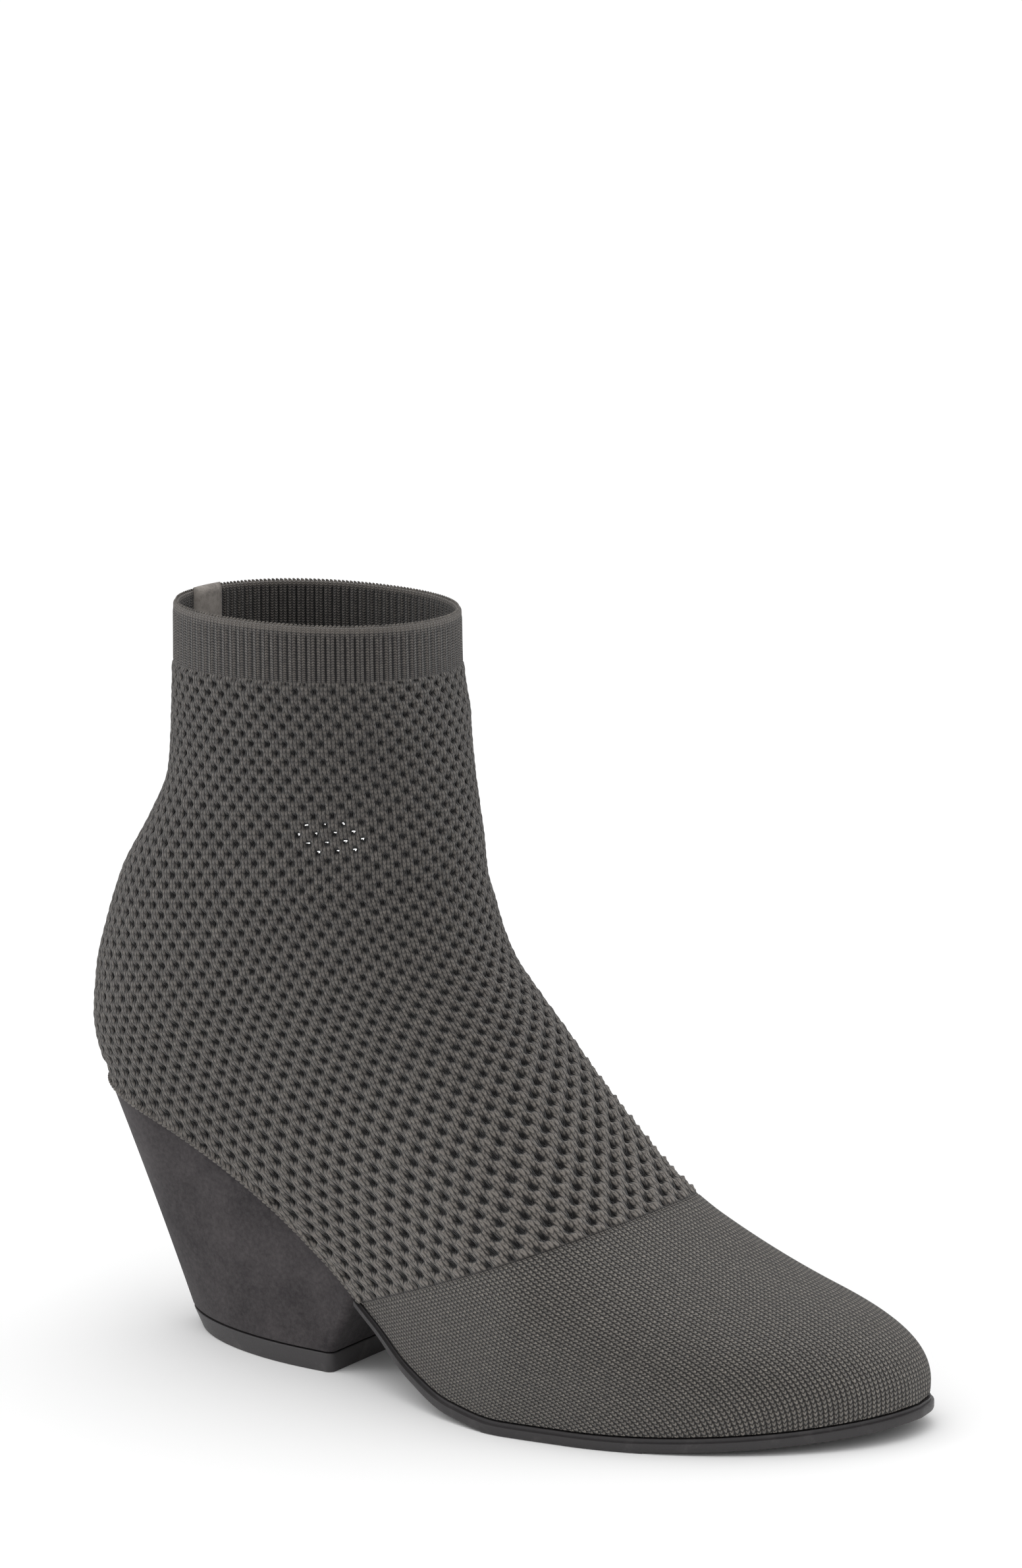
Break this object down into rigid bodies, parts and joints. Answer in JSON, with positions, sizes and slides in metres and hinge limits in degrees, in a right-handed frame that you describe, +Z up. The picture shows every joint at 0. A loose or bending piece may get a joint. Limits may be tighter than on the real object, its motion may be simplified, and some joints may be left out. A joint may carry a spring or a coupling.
{
  "type": "ankle boot",
  "caption": "Right ankle boot with a knitted sock upper, ribbed collar, thin pointed sole and a suede-covered block heel.",
  "frame": {"origin": "middle of the boot's bounding box in plan, at the ground", "axes": "+X towards the toe, -Y towards the outer side of the foot, +Z up"},
  "size_m": [0.25, 0.0864, 0.2063],
  "materials": {
    "knit": "matte open knit, dark warm grey",
    "lining": "matte dark textile",
    "sole": "satin moulded edge",
    "suede": "napped, dark purplish grey",
    "rubber": "satin moulded rubber",
    "tape": "napped facing tape, mid grey"
  },
  "bodies": {
    "root": {"upper": "knit", "insole": "lining", "outsole": "sole", "heel_block": "suede", "heel_tip": "rubber", "back_tape": "tape"}
  },
  "joints": []
}
